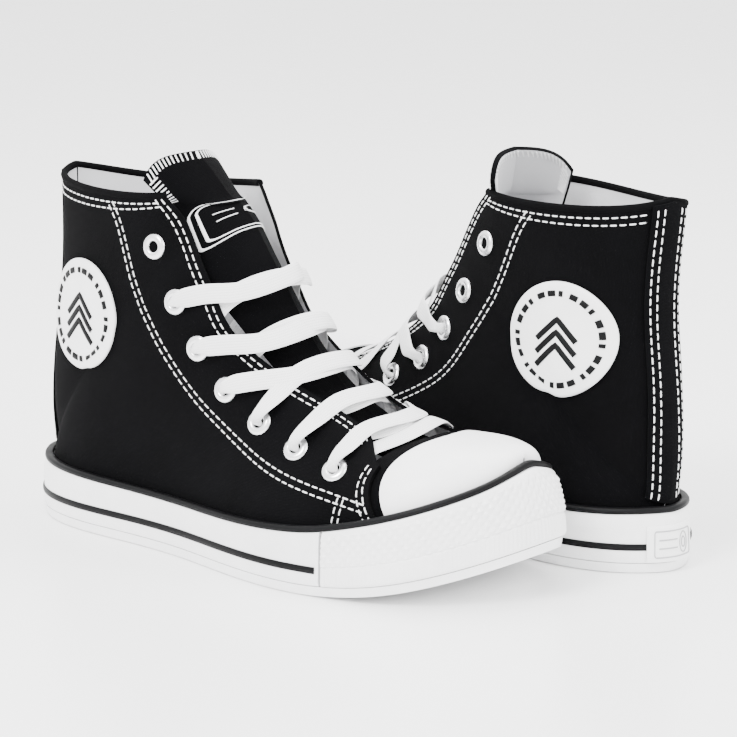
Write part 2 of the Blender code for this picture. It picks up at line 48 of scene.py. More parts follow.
# ---------------------------------------------------------------- driving dimensions, mm
SOLE_LENGTH = 280.0
TOE_SPRING = 21.0
SPRING_START = 190.0
TUCK = 6.0              # how far the upper runs down behind the sole's wall
UPPER_INSET = 7.2       # from the sole's outline to the vamp's outer face
WALL_LEAN = 1.5         # the sole's wall leans in by this much at its top
TOE_LEAN = 8.5          # and by this much more at the tip of the toe
WALL_INSIDE = 4.2       # from the sole's outline to the inner face of its wall
OUTSOLE_THICK = 4.0
MIDSOLE_THICK = 8.7
BUMPER_PROUD = 0.7      # how far the toe bumper stands out from the rest of the wall
BUMPER_END = 4.15       # station where the toe bumper ends on each side
FOXING_START = 4.22
STRIPE_START = 4.3
STRIPE_HEIGHTS = (9.8, 12.6)
PIPING_HEIGHT = 2.4
GAP = 0.3               # clearance between bonded layers
PATCH_RADIUS = 24.5
HEEL_STAY_HALF = 9.0
LABEL_FOOT = 4.8
LABEL_HEIGHT = 15.5
LABEL_REACH = 1.05      # stations from the middle of the heel label to its end
TAPE_WIDTH = 8.4
TAPE_THICK = 1.3
TAPE_AT_HOLE = (4.4, 2.4)       # width and thickness where the lace is squeezed in an eyelet
TAPE_STEP = 1.1         # distance between the lace's sections

# Where the two shoes stand: centre of the sole, x, y, and the direction it points.
PLACES = {"left": (-33.6, -47.7, -37.6), "right": (49.9, 22.3, 125.4)}

# The sole's outline from the toe tip to the back of the heel, on each side. Places on it are
# called stations; wherever the upper is concerned they run on up the heel.
MEDIAL = [(280, 3), (275, -12), (262, -27), (238, -44), (208, -51), (185, -53), (150, -48),
          (115, -39), (80, -34), (45, -30), (19, -19), (6.5, -5), (3, 6)]
LATERAL = [(280, 3), (277, 17), (262, 33), (236, 45), (205, 50), (175, 50), (140, 45),
           (105, 41), (75, 39), (45, 37), (19, 29), (6.5, 16.5), (3, 6)]
HEEL = 12               # station at the back of the heel, where the outline ends
COLLAR = 17             # station of the collar's edge
# Height of the top of the sole's wall at each station.
WALL_TOP = [57.0, 54.8, 48.3, 39.3, 31.2, 27.8, 25.8, 25.3, 25.8, 26.6, 27.4, 28, 28]

# The upper is a fan of cross-sections. The first eleven start at the outline, the others on the
# heel's centre line. Each ends on the ridge over the instep.
RIDGE = [(264.3, 57.5), (263.3, 59), (257.5, 60), (243, 60.3), (222, 60.3), (205, 63.5), (186, 73),
         (169, 87), (157, 102), (147, 117), (139, 129), (133, 138), (129, 144), (125.5, 148),
         (122.5, 151), (120, 153), (118, 154.5), (116, 156), (110, 165), (103, 175)]
HEEL_LINE = [(10.4, 6.2, 27), (10.2, 6.5, 45), (12.5, 7.2, 75), (16.5, 7.8, 105), (17, 9, 132),
             (15.5, 10.5, 157), (15.5, 10.5, 171), (15.5, 10.5, 184)]
# How each cross-section leaves its lower end: how far, at what angle from upright, in which
# direction from straight ahead, and how much higher.
RISE = [3, 6, 10, 14, 17, 19, 22, 26, 28, 29, 28.5, 29, 28, 26.5, 25.5, 25.5, 25.5, 25.5, 25.5, 25]
LEAN = [0, 0, 0, 0, 0, 0, 0, 0, 2, 10, 23, 43, 63, 79, 88, 90, 90, 90, 90, 90]
HEADING = [0, 0, 0, 0, 0, 0, 0, 0, 8, 22, 40, 58, 72, 83, 89, 90, 90, 90, 90, 90]
LIFT = [0, 0, 0, 0, 0, 0, 0, 0, 0, 0, 0, 0, 0, 1, 2, 0, -2, -5, -5, -5]
# Its middle: the mix of its two ends, how far above that, and its half-width.
MIX = [0.5, 0.3, 0.25, 0.22, 0.25, 0.3, 0.32, 0.33, 0.34, 0.35, 0.36, 0.38, 0.4, 0.42, 0.42, 0.42,
       0.42, 0.42, 0.42, 0.42]
BULGE = [0, 6, 11, 18, 19, 18, 21, 23, 25, 28, 22, 16, 12, 6, 2, -2, -5, -7, -7, -7]
WIDTH = [0.3, 9, 20, 32, 37, 39, 37, 34.5, 31.5, 29.8, 29, 28.4, 27.5, 26.2, 25, 24, 23.5, 23, 22,
         21]
# How it meets the ridge: half-width, and how far behind and below it.
CROWN = [0.5, 6, 11, 19, 24, 28, 31, 36, 41, 46, 48, 49, 49, 49, 49, 49, 49, 49, 47, 44]
PULL_X = [0, 1, 1, 1, 2, 3, 5, 8, 11, 13, 13, 12, 11, 10, 10, 10, 10, 10, 9, 8]
PULL_Z = [0, 0, 0, 0, 0, 0.5, 1.5, 3, 4, 5, 5, 5, 4, 4, 4, 4, 4, 4, 3, 3]
# How far the shaft leans out to the lateral side, where its flap stands open.
FLARE = [0, 0, 0, 0, 0, 0, 0, 0, 0, 0.2, 0.6, 1.3, 2.2, 3.2, 4.3, 5.4, 6.4, 7.2, 7.6, 7.8]

# Side view places (x, z) of the eyelets, from the collar down, and of the flaps' front edges.
EYELETS = [(93, 131), (106, 108.5), (119, 90), (135, 74), (155, 62.5), (177, 54.5), (199, 49)]
FLAP_EDGE = [(219, 52), (205, 59), (186, 67.5), (164, 78), (147, 88), (133, 99), (126, 109),
             (118, 122), (112, 133), (106, 143), (96, 153)]
OPEN_FROM = 95          # height where the lateral flap starts to stand further forward
OPEN_RATE = 0.15        # and how much further per mm of height
PATCH_PLACE = (48, 96)

# The lace from end to end: row, side, and whether it goes in through that eyelet or comes out.
LACING = [(2, -1, False), (3, 1, False), (4, -1, False), (5, 1, False), (6, -1, True),
          (7, 1, False), (7, -1, False), (6, 1, True), (5, -1, False), (4, 1, True),
          (3, -1, True), (2, 1, True)]
# The strands that pass over the one they cross: from row, to row, starting side.
HIGH_STRANDS = {(2, 3, -1), (3, 4, 1), (5, 6, 1), (7, 6, -1), (5, 4, -1)}

# Layers, as distances from the vamp's outer face along its normal: (inner, outer).
VAMP = (-1.6, 0.0)
FLAP = (0.6, 2.2)
TOE_CAP = (0.6, 2.2)
STAY = (2.8, 4.0)
PATCH = (2.8, 4.4)
TONGUE = (-7.4, -5.0)
TAPE_OVER = (4.7, 4.2, 3.5)     # lace over a flap: at the eyelet, half way, past the flap's edge
TAPE_UNDER = (-0.9, -0.7, -0.7) # the same for lace under a flap
TAPE_CROSS_HIGH = 2.7   # the upper of two strands that cross over the tongue
TAPE_CROSS_LOW = 0.7    # the lower one
LACE_TAIL = -2.6        # a tail tucked in along the flap's inner face

UP = np.array([0.0, 0.0, 1.0])
MIDDLE = 3.5            # y of the instep's ridge
TONGUE_SWAY = -6.0      # how far the tongue's top leans to the medial side


# ---------------------------------------------------------------- curves
class Spline:
    """A natural cubic spline through values at increasing parameters."""

    def __init__(self, params, values):
        self.t = np.array(params, float)
        self.p = np.array(values, float)
        n = len(self.t)
        h = np.diff(self.t)
        slope = (np.diff(self.p, axis=0).T / h).T
        a = np.eye(n)
        b = np.zeros_like(self.p)
        for i in range(1, n - 1):
            a[i, i - 1:i + 2] = h[i - 1], 2 * (h[i - 1] + h[i]), h[i]
            b[i] = 6 * (slope[i] - slope[i - 1])
        self.m = np.linalg.solve(a, b)

    def __call__(self, t):
        i = int(np.clip(np.searchsorted(self.t, t) - 1, 0, len(self.t) - 2))
        h = self.t[i + 1] - self.t[i]
        a = (self.t[i + 1] - t) / h
        b = 1 - a
        bend = ((a ** 3 - a) * self.m[i] + (b ** 3 - b) * self.m[i + 1]) * h * h / 6
        return a * self.p[i] + b * self.p[i + 1] + bend


def by_station(values):
    return Spline(range(len(values)), values)


LOOP_POINTS = MEDIAL + LATERAL[-2:0:-1]
LOOP_COUNT = len(LOOP_POINTS)


def make_loop():
    """The outline as a closed curve, with three extra points at each end to close it smoothly."""
    points = np.array(LOOP_POINTS[-3:] + LOOP_POINTS + LOOP_POINTS[:4], float)
    length = np.concatenate([[0], np.cumsum(np.linalg.norm(np.diff(points, axis=0), axis=1))])
    return Spline(length, points), Spline(range(-3, LOOP_COUNT + 4), length)


LOOP, LOOP_LENGTH = make_loop()


def outline(t, inset=0.0):
    """A point of the outline, moved in by inset. t is 0 at the toe tip and 12 at the heel."""
    t = t % LOOP_COUNT
    here = LOOP(LOOP_LENGTH(t))
    step = LOOP(LOOP_LENGTH(t + 0.02)) - LOOP(LOOP_LENGTH(t - 0.02))
    inward = np.array([step[1], -step[0]]) / np.linalg.norm(step)
    return here + inward * inset


def mirror_station(t):
    """The station of a place on the closed outline, on whichever side it lies."""
    t = t % LOOP_COUNT
    return t if t <= HEEL else LOOP_COUNT - t


wall_top_at = Spline(range(-3, HEEL + 1), WALL_TOP[3:0:-1] + WALL_TOP)
ridge_at = by_station(RIDGE)
shape_at = by_station(list(zip(RISE, LEAN, HEADING, LIFT, MIX, BULGE, WIDTH, CROWN, PULL_X,
                               PULL_Z, FLARE)))


def spring(x):
    """How high the sole's underside is at x: flat to the ball, then curving up to the toe."""
    return TOE_SPRING * max(0.0, (x - SPRING_START) / (SOLE_LENGTH - SPRING_START)) ** 2


def above_outsole(x):
    return spring(x) + OUTSOLE_THICK + GAP


def wall_top(t):
    return float(wall_top_at(mirror_station(t)))


def toe_lean(t):
    """How much further the wall leans in than it does along the sides."""
    return TOE_LEAN * math.exp(-(mirror_station(t) / 1.7) ** 2)


def lower_edge(side):
    """The upper's lower edge and then its heel line, as one smooth curve over the stations."""
    stations = list(np.arange(0, 10.6, 0.5))
    points = []
    for u in stations:
        x, y = outline(u if side < 0 else LOOP_COUNT - u, UPPER_INSET + toe_lean(u))
        points.append((x, y, wall_top(u) - TUCK))
    return Spline(stations + list(range(HEEL, HEEL + len(HEEL_LINE))), points + HEEL_LINE)


LOWER_EDGE = {side: lower_edge(side) for side in (-1, 1)}


# ---------------------------------------------------------------- the upper's surface
@lru_cache(maxsize=None)
def section(u, side):
    """The five control points of the cross-section at station u; side is -1 on the medial side."""
    (rise, lean, heading, lift, mix, bulge, width, crown, pull_x, pull_z, flare) = shape_at(u)
    ridge_x, ridge_z = ridge_at(u)
    ridge = np.array([ridge_x, MIDDLE, ridge_z])
    base = LOWER_EDGE[side](u)
    out, ahead = math.radians(lean), math.radians(heading)
    leave = np.array([math.sin(out) * math.cos(ahead), side * math.sin(out) * math.sin(ahead),
                      math.cos(out)])
    start = base + rise * leave + lift * UP
    middle = base * (1 - mix) + ridge * mix + bulge * UP
    if side > 0:
        middle[1] = MIDDLE + width + 0.45 * flare
        middle[2] -= 0.3 * flare
        end = ridge + np.array([0.6 * flare - pull_x, crown + flare, -pull_z])
    else:
        middle[1] = MIDDLE - width + 0.2 * flare
        end = ridge + np.array([-pull_x, 0.5 * flare - crown, -pull_z])
    return base, start, middle, end, ridge


def on_section(points, vs):
    w = 1 - vs
    weights = (w ** 4, 4 * w ** 3 * vs, 6 * w * w * vs * vs, 4 * w * vs ** 3, vs ** 4)
    return sum(k[:, None] * p for k, p in zip(weights, points))


def upper_row(u, vs, side, off=0.0):
    """Points of the upper on one cross-section, v from 0 at its lower end to 1 on the ridge."""
    vs = np.atleast_1d(np.asarray(vs, float))
    points = section(u, side)
    here = on_section(points, vs)
    if np.all(off == 0.0):
        return here
    step = 0.02
    across = on_section(points, np.minimum(vs + step, 1)) - \
        on_section(points, np.maximum(vs - step, 0))
    along = on_section(section(u + step, side), vs) - on_section(section(u - step, side), vs)
    normal = np.cross(across, along) * -side
    normal[vs > 0.999, 1] = 0.0
    normal /= np.linalg.norm(normal, axis=1)[:, None]
    return here + normal * np.broadcast_to(off, vs.shape)[:, None]


def upper(u, v, side, off=0.0):
    return upper_row(u, [v], side, off)[0]


def side_view_table(side):
    """Stations, v and side view places of a grid of points on the upper."""
    vs = np.linspace(0.02, 0.98, 49)
    rows = []
    for u in np.arange(1.0, COLLAR + 0.6, 0.2):
        points = upper_row(u, vs, side)
        rows.append(np.column_stack([np.full(len(vs), u), vs, points[:, 0], points[:, 2]]))
    return np.vstack(rows)


@lru_cache(maxsize=None)
def find(x, z, side):
    """The station and v of the place that looks like (x, z) from the side."""
    table = SIDE_VIEWS[side]
    u, v = table[np.argmin((table[:, 2] - x) ** 2 + (table[:, 3] - z) ** 2), :2]
    for _ in range(8):
        here = upper(u, v, side)
        du = (upper(u + 0.01, v, side) - here) / 0.01
        dv = (upper(u, v + 0.01, side) - here) / 0.01
        jacobian = np.array([[du[0], dv[0]], [du[2], dv[2]]])
        step = np.linalg.solve(jacobian, [x - here[0], z - here[2]])
        u += float(np.clip(step[0], -0.3, 0.3))
        v += float(np.clip(step[1], -0.05, 0.05))
    return u, v


SIDE_VIEWS = {side: side_view_table(side) for side in (-1, 1)}


def find_opened(x, z, side):
    """The same for a place on a flap; the upper part of the lateral one stands open, forward."""
    if side > 0:
        x += OPEN_RATE * max(0.0, z - OPEN_FROM)
    return find(x, z, side)


def flap_curve(side):
    """The flap's front edge as v against station, from its side view."""
    places = sorted(find_opened(x, z, side) for x, z in FLAP_EDGE)
    return Spline([u for u, _ in places], [v for _, v in places]), places[0][0], places[-1][0]


EDGES = {side: flap_curve(side) for side in (-1, 1)}


def flap_v(u, side):
    """Where the flap ends on the cross-section at station u."""
    curve, first, last = EDGES[side]
    return float(curve(min(max(u, first), last)))


def arch(u, a, off):
    """A point on the upper, a from -1 at the medial edge over 0 on the ridge to 1 lateral."""
    side = -1 if a < 0 else 1
    return upper(u, 1 - abs(a), side, off)


def tongue_point(u, a, off):
    """A point on the tongue, which has the medial half's shape on both sides of the ridge."""
    x, y, z = upper(u, 1 - abs(a), -1, off)
    sway = TONGUE_SWAY * max(0.0, (u - 15) / 4) ** 2
    return (x, (y if a < 0 else 2 * MIDDLE - y) + sway, z)


SPOTS = {side: [find_opened(x, z, side) for x, z in EYELETS] for side in (-1, 1)}


# ---------------------------------------------------------------- materials
class Nodes:
    """A short way to write a material's node tree."""

    def __init__(self, name):
        self.material = bpy.data.materials.new(name)
        self.material.use_nodes = True
        self.tree = self.material.node_tree
        self.shader = self.tree.nodes["Principled BSDF"]

    def add(self, kind, inputs=(), **settings):
        node = self.tree.nodes.new(kind)
        for key, value in settings.items():
            setattr(node, key, value)
        for key, value in dict(inputs).items():
            self.feed(node, key, value)
        return node

    def feed(self, node, key, value):
        if isinstance(value, bpy.types.NodeSocket):
            self.tree.links.new(value, node.inputs[key])
        else:
            node.inputs[key].default_value = value

    def math(self, operation, a, b=0.0):
        return self.add("ShaderNodeMath", {0: a, 1: b}, operation=operation).outputs[0]

    def ripple(self, value, pitch):
        """Round ridges, pitch apart."""
        wave = self.math("SINE", self.math("MULTIPLY", value, math.pi / pitch))
        return self.math("ABSOLUTE", wave)

    def noise(self, place, scale, detail=3.0):
        node = self.add("ShaderNodeTexNoise", {"Vector": place, "Scale": scale, "Detail": detail})
        return node.outputs["Fac"]

    def ramp(self, value, low, high, dark, light):
        """Colours from dark to light as value goes from low to high."""
        node = self.add("ShaderNodeMapRange", {"Value": value, "From Min": low, "From Max": high})
        mix = self.add("ShaderNodeMix", {"Factor": node.outputs[0]}, data_type="RGBA")
        mix.inputs["A"].default_value = (*dark, 1.0)
        mix.inputs["B"].default_value = (*light, 1.0)
        return mix.outputs["Result"]

    def bump(self, height, depth, before=None):
        """A bump whose height is in metres times depth."""
        inputs = {"Height": height, "Strength": 1.0, "Distance": depth}
        if before is not None:
            inputs["Normal"] = before
        return self.add("ShaderNodeBump", inputs).outputs["Normal"]

    def finish(self, **values):
        for key, value in values.items():
            self.feed(self.shader, key.replace("_", " "), value)
        return self.material


def weave(nodes, pitch):
    """The height of a plain weave, threads pitch mm apart, over UVs in mm."""
    uv = nodes.add("ShaderNodeUVMap").outputs[0]
    split = nodes.add("ShaderNodeSeparateXYZ", {0: uv})
    turns = math.pi / pitch
    wave_x = nodes.math("SINE", nodes.math("MULTIPLY", split.outputs[0], turns))
    wave_y = nodes.math("SINE", nodes.math("MULTIPLY", split.outputs[1], turns))
    over = nodes.math("MULTIPLY", wave_x, wave_y)
    round_x = nodes.math("ABSOLUTE", wave_x)
    round_y = nodes.math("ABSOLUTE", wave_y)
    warp = nodes.math("MULTIPLY", round_x, nodes.math("MAXIMUM", over, 0.0))
    weft = nodes.math("MULTIPLY", round_y, nodes.math("ABSOLUTE", nodes.math("MINIMUM", over, 0.0)))
    return nodes.math("ADD", warp, weft)


def cloth(name, dark, light, pitch, depth, sheen, specular=0.12, roughness=0.9):
    """Woven canvas: painted shade between the threads and lighter colour on them, a little faded and
    fuzzy.
    """
    nodes = Nodes(name)
    place = nodes.add("ShaderNodeTexCoord").outputs["Object"]
    threads = weave(nodes, pitch)
    fuzz = nodes.noise(place, 2600.0, 4.0)
    fade = nodes.noise(place, 45.0, 5.0)
    shade = nodes.math("ADD", nodes.math("MULTIPLY", threads, 0.55),
                       nodes.math("MULTIPLY", fade, 0.45))
    shade = nodes.math("ADD", shade, nodes.math("MULTIPLY", fuzz, 0.25))
    # Darker where the weave is low: painted shade between the threads, mixed with random fading and
    # fuzz.
    color = nodes.ramp(shade, 0.15, 0.95, dark, light)
    normal = nodes.bump(threads, depth)
    normal = nodes.bump(fuzz, depth * 0.6, normal)
    return nodes.finish(Base_Color=color, Roughness=roughness, Normal=normal, Sheen_Weight=sheen,
                        Sheen_Roughness=0.5, Specular_IOR_Level=specular)


def rubber(name, dark, light, roughness, coat, specular=0.5, depth=0.00004):
    """Moulded rubber, cloudy and lightly scuffed, under a thin glossy coat."""
    nodes = Nodes(name)
    place = nodes.add("ShaderNodeTexCoord").outputs["Object"]
    cloudy = nodes.noise(place, 22.0, 6.0)
    fine = nodes.noise(place, 900.0, 3.0)
    scuffs = nodes.noise(place, 140.0, 6.0)
    shade = nodes.math("ADD", nodes.math("MULTIPLY", cloudy, 0.7),
                       nodes.math("MULTIPLY", scuffs, 0.3))
    color = nodes.ramp(shade, 0.3, 0.6, dark, light)
    rough = nodes.add("ShaderNodeMapRange", {"Value": scuffs, "From Min": 0.3, "From Max": 0.7,
                                             "To Min": roughness - 0.05,
                                             "To Max": roughness + 0.08}).outputs[0]
    normal = nodes.bump(nodes.math("ADD", fine, nodes.math("MULTIPLY", cloudy, 3.0)), depth)
    return nodes.finish(Base_Color=color, Roughness=rough, Normal=normal, Coat_Weight=coat,
                        Coat_Roughness=0.25, Specular_IOR_Level=specular)


def thread(name, dark, light, pitch):
    """Twisted cotton thread, seen as slanting fibres with painted shade in the grooves between them.
    """
    nodes = Nodes(name)
    place = nodes.add("ShaderNodeTexCoord").outputs["Object"]
    fibre = nodes.add("ShaderNodeTexWave", {"Vector": place, "Scale": 1.0 / pitch,
                                            "Distortion": 2.0}, bands_direction="DIAGONAL")
    fuzz = nodes.noise(place, 3000.0)
    # Darker where the fibres' bump is low: painted shade in the grooves, with random fuzz.
    color = nodes.ramp(nodes.math("ADD", fibre.outputs["Fac"], fuzz), 0.3, 1.4, dark, light)
    normal = nodes.bump(fibre.outputs["Fac"], 0.00008)
    return nodes.finish(Base_Color=color, Roughness=0.8, Normal=normal, Sheen_Weight=0.2)


def tape(name, column_width=1.1, rib_length=0.9):
    """Flat cotton lace: a chevron weave with painted shade in its valleys, its sizes in mm."""
    nodes = Nodes(name)
    uv = nodes.add("ShaderNodeUVMap").outputs[0]
    split = nodes.add("ShaderNodeSeparateXYZ", {0: uv})
    slant = nodes.math("ADD", split.outputs[1], nodes.math("PINGPONG", split.outputs[0], column_width))
    rib = nodes.ripple(slant, rib_length)
    column = nodes.ripple(split.outputs[0], column_width)
    knit = nodes.math("MULTIPLY", nodes.math("POWER", rib, 0.6), nodes.math("POWER", column, 0.5))
    place = nodes.add("ShaderNodeTexCoord").outputs["Object"]
    fuzz = nodes.noise(place, 2400.0, 4.0)
    # Darker where the knit is low: painted shade in the valleys, with random fuzz on top.
    color = nodes.ramp(nodes.math("ADD", knit, nodes.math("MULTIPLY", fuzz, 0.3)), 0.0, 0.9,
                       (0.62, 0.62, 0.64), (0.93, 0.93, 0.93))
    normal = nodes.bump(fuzz, 0.00006, nodes.bump(knit, 0.00016))
    return nodes.finish(Base_Color=color, Roughness=0.88, Normal=normal, Sheen_Weight=0.3)


def plated(name):
    """Finely scratched nickel plate."""
    nodes = Nodes(name)
    place = nodes.add("ShaderNodeTexCoord").outputs["Object"]
    scratches = nodes.noise(place, 700.0, 5.0)
    rough = nodes.add("ShaderNodeMapRange", {"Value": scratches, "To Min": 0.16,
                                             "To Max": 0.36}).outputs[0]
    normal = nodes.bump(scratches, 0.00002)
    return nodes.finish(Base_Color=(0.86, 0.86, 0.87, 1), Metallic=1.0, Roughness=rough,
                        Normal=normal)


BLACK_CANVAS = cloth("canvas black", (0.0004, 0.0004, 0.0005), (0.003, 0.003, 0.0037), 0.62,
                     0.0002, 0.003, 0.04)
BLACK_TAPE = cloth("binding tape", (0.0004, 0.0004, 0.0005), (0.003, 0.003, 0.0035), 0.45,
                   0.00012, 0.003, 0.04)
LINING = cloth("lining", (0.5, 0.5, 0.52), (0.78, 0.78, 0.79), 0.55, 0.00012, 0.1)
WHITE_RUBBER = rubber("rubber white", (0.8, 0.8, 0.81), (0.9, 0.9, 0.9), 0.36, 0.15)
CAP_RUBBER = rubber("cap rubber", (0.84, 0.84, 0.85), (0.9, 0.9, 0.905), 0.24, 0.35, 0.00002)
BLACK_RUBBER = rubber("rubber black", (0.001, 0.001, 0.0012), (0.003, 0.003, 0.0035), 0.45, 0.0,
                      0.1)
GREY_RUBBER = rubber("rubber grey", (0.25, 0.25, 0.26), (0.36, 0.36, 0.37), 0.42, 0.1)
STITCH = thread("stitch thread", (0.66, 0.66, 0.67), (0.94, 0.94, 0.94), 0.0009)
LACE_TAPE = tape("lace tape")
NICKEL = plated("nickel plate")

# ---------------------------------------------------------------- forms
class Form:
    """A closed mesh of the design: points in mm, faces, a material number and UVs in mm."""

    def __init__(self, points, faces, kinds=None, uvs=None):
        self.points = np.asarray(points, float)
        self.faces = [list(face) for face in faces]
        self.kinds = list(kinds) if kinds is not None else [0] * len(self.faces)
        self.uvs = self.points[:, :2] if uvs is None else np.asarray(uvs, float)
        if self.volume() < 0:
            self.faces = [face[::-1] for face in self.faces]

    def volume(self):
        total = 0.0
        middle = self.points.mean(axis=0)
        for face in self.faces:
            a, *rest = (self.points[i] - middle for i in face)
            for b, c in zip(rest, rest[1:]):
                total += np.dot(a, np.cross(b, c))
        return total


def join(forms):
    """One form out of many."""
    points, faces, kinds, uvs = [], [], [], []
    count = 0
    for form in forms:
        points.append(form.points)
        uvs.append(form.uvs)
        faces += [[i + count for i in face] for face in form.faces]
        kinds += form.kinds
        count += len(form.points)
    return Form(np.vstack(points), faces, kinds, np.vstack(uvs))


def distances(grid, axis):
    """How far each point of a grid is along its row or column."""
    steps = np.linalg.norm(np.diff(grid, axis=axis), axis=2)
    pad = [(0, 0), (0, 0)]
    pad[axis] = (1, 0)
    return np.pad(np.cumsum(steps, axis=axis), pad)


def shell(outer, inner, loop=False):
    """A sheet between two grids of points. Faces on the outer grid are material 0, on the inner
    one 1, round the edge 2. With loop, the last row joins the first."""
    outer, inner = np.asarray(outer, float), np.asarray(inner, float)
    rows, columns = outer.shape[:2]
    count = rows * columns
    index = np.arange(count).reshape(rows, columns)
    ring = np.vstack([index, index[:1]]) if loop else index
    faces, kinds = [], []
    for a, b in zip(ring[:-1], ring[1:]):
        for k in range(columns - 1):
            quad = [a[k], a[k + 1], b[k + 1], b[k]]
            faces += [quad, [count + i for i in quad[::-1]]]
            kinds += [0, 1]
        ends = [(a[0], b[0]), (b[-1], a[-1])]
        faces += [[p, q, count + q, count + p] for p, q in ends]
        kinds += [2, 2]
    if not loop:
        for row, step in ((index[0], 1), (index[-1], -1)):
            line = row[::step]
            for p, q in zip(line[:-1], line[1:]):
                faces.append([q, p, count + p, count + q])
                kinds.append(2)
    uv = np.stack([distances(outer, 1), distances(outer, 0)], axis=2).reshape(-1, 2)
    return Form(np.vstack([outer.reshape(-1, 3), inner.reshape(-1, 3)]), faces, kinds,
                np.vstack([uv, uv]))


def panel(grid, layer):
    """A sheet whose two faces are grid(off) at the layer's outer and inner distances."""
    inner, outer = layer
    return shell(grid(outer), grid(inner))


def unit(vectors):
    return vectors / np.maximum(np.linalg.norm(vectors, axis=-1, keepdims=True), 1e-9)


def tube_faces(count, sides, closed):
    """The faces of a tube through count rings, which joins up with itself when closed."""
    faces = []
    for a in range(count if closed else count - 1):
        b = (a + 1) % count
        for k in range(sides):
            n = (k + 1) % sides
            faces.append([a * sides + k, a * sides + n, b * sides + n, b * sides + k])
    return faces


def ring_form(rings):
    """A closed ring through closed sections."""
    rings = np.asarray(rings, float)
    return Form(rings.reshape(-1, 3), tube_faces(*rings.shape[:2], closed=True))


def sweep(path, across, widths, heights, sides=8, power=1.0):
    """A rod along path. across is the direction of its width at each point. The lower the power,
    the flatter its section."""
    path, across = np.asarray(path, float), np.asarray(across, float)
    along = unit(np.gradient(path, axis=0))
    across = unit(across - along * np.sum(across * along, axis=1)[:, None])
    up = np.cross(along, across)
    turn = np.arange(sides) * math.tau / sides
    flat = np.sign(np.cos(turn)) * np.abs(np.cos(turn)) ** power
    tall = np.sin(turn)
    widths = np.broadcast_to(widths, len(path))[:, None, None] / 2
    heights = np.broadcast_to(heights, len(path))[:, None, None] / 2
    rings = (path[:, None] + across[:, None] * flat[:, None] * widths
             + up[:, None] * tall[:, None] * heights)
    count = len(path)
    faces = tube_faces(count, sides, closed=False)
    faces += [list(range(sides))[::-1], [(count - 1) * sides + k for k in range(sides)]]
    run = np.concatenate([[0], np.cumsum(np.linalg.norm(np.diff(path, axis=0), axis=1))])
    uv = np.stack([np.broadcast_to(flat * 4.0, (count, sides)),
                   np.repeat(run[:, None], sides, 1)], 2)
    return Form(rings.reshape(-1, 3), faces, None, uv.reshape(-1, 2))


def place(points, shoe):
    """Design points in mm as places in the shared frame in metres."""
    x, y, turn = PLACES[shoe]
    cosine, sine = math.cos(math.radians(turn)), math.sin(math.radians(turn))
    ahead = points[:, 0] - SOLE_LENGTH / 2
    aside = points[:, 1] * (-1 if shoe == "right" else 1)
    return np.stack([x + ahead * cosine - aside * sine, y + ahead * sine + aside * cosine,
                     points[:, 2]], axis=1) * MM


def make(shoe, name, form, finishes, slot, replaces=(), body="shoe", crease=38):
    """Adds a form to one shoe. finishes has one material per material number."""
    mesh = bpy.data.meshes.new(f"{shoe}_{name}_look")
    faces = form.faces if shoe == "left" else [face[::-1] for face in form.faces]
    mesh.from_pydata(place(form.points, shoe).tolist(), [], faces)
    for finish in finishes:
        mesh.materials.append(finish)
    mesh.polygons.foreach_set("material_index", [min(k, len(finishes) - 1) for k in form.kinds])
    layer = mesh.uv_layers.new(name="cloth")
    corners = np.empty(len(mesh.loops), np.int32)
    mesh.loops.foreach_get("vertex_index", corners)
    layer.data.foreach_set("uv", form.uvs[corners].astype(np.float32).ravel())
    mesh.shade_smooth()
    mesh.set_sharp_from_angle(angle=math.radians(crease))
    item = bpy.data.objects.new(f"{shoe}_{name}_look", mesh)
    bpy.context.scene.collection.objects.link(item)
    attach(item, f"{shoe}_{body}")
    if replaces:
        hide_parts(*[f"{shoe}_{node}" for node in replaces])
    return item


def spread(first, last, count):
    return [first + (last - first) * i / (count - 1) for i in range(count)]


# ---------------------------------------------------------------- the sole
def wall_inset(t, z):
    """The inset of the sole wall's outer face at height z: it leans in towards its top."""
    low = above_outsole(outline(t)[0])
    return (WALL_LEAN + toe_lean(t)) * (max(z - low, 0.0) / (wall_top(t) - low)) ** 2


def wall_form(stations, rows, relief):
    """The sole's wall between two stations. relief(s, h, height) is how proud its face stands
    at s mm along it and h mm up."""
    outer, inner = [], []
    run = 0.0
    before = outline(stations[0])
    for t in stations:
        here = outline(t)
        run += math.dist(here, before)
        before = here
        low = above_outsole(here[0])
        high = wall_top(t) - PIPING_HEIGHT - GAP
        middle = low + MIDSOLE_THICK + 1.0
        out_row, in_row = [], []
        for k in spread(0, 1, rows):
            z = low + (high - low) * k
            face = wall_inset(t, z) - relief(run, z - low, high - low)
            out_row.append((*outline(t, face), z))
            back = WALL_INSIDE + toe_lean(t) * max(0.0, (z - middle) / (high - middle))
            in_row.append((*outline(t, back), z))
        outer.append(out_row)
        inner.append(in_row)
    return shell(outer, inner)


def rounded_ends(h, height, radius):
    """How far a face falls back near its lower and upper edges."""
    near = min(h, height - h)
    return radius * max(0.0, 1 - near / radius) ** 2


def bumper_relief(s, h, height):
    """Small pyramids over fine upright ribs, with a groove between them and a plain border."""
    groove, border = 0.6, 2.2
    rib_pitch, rib_height = 1.9, 0.45
    pyramid_pitch, pyramid_height = 4.6, 1.2
    proud = BUMPER_PROUD - 0.6 * rounded_ends(h, height, 1.2)
    band = 0.36 * height
    if h < band - groove:
        return proud + rib_height * abs(math.sin(math.pi * s / rib_pitch)) * min(1.0, h / 2)
    if h < band:
        return proud - 0.25
    if h > height - border:
        return proud
    first = abs((s / pyramid_pitch + (h - band) / pyramid_pitch) % 1 - 0.5) * 2
    second = abs((s / pyramid_pitch - (h - band) / pyramid_pitch) % 1 - 0.5) * 2
    return proud + pyramid_height * (1 - max(first, second))


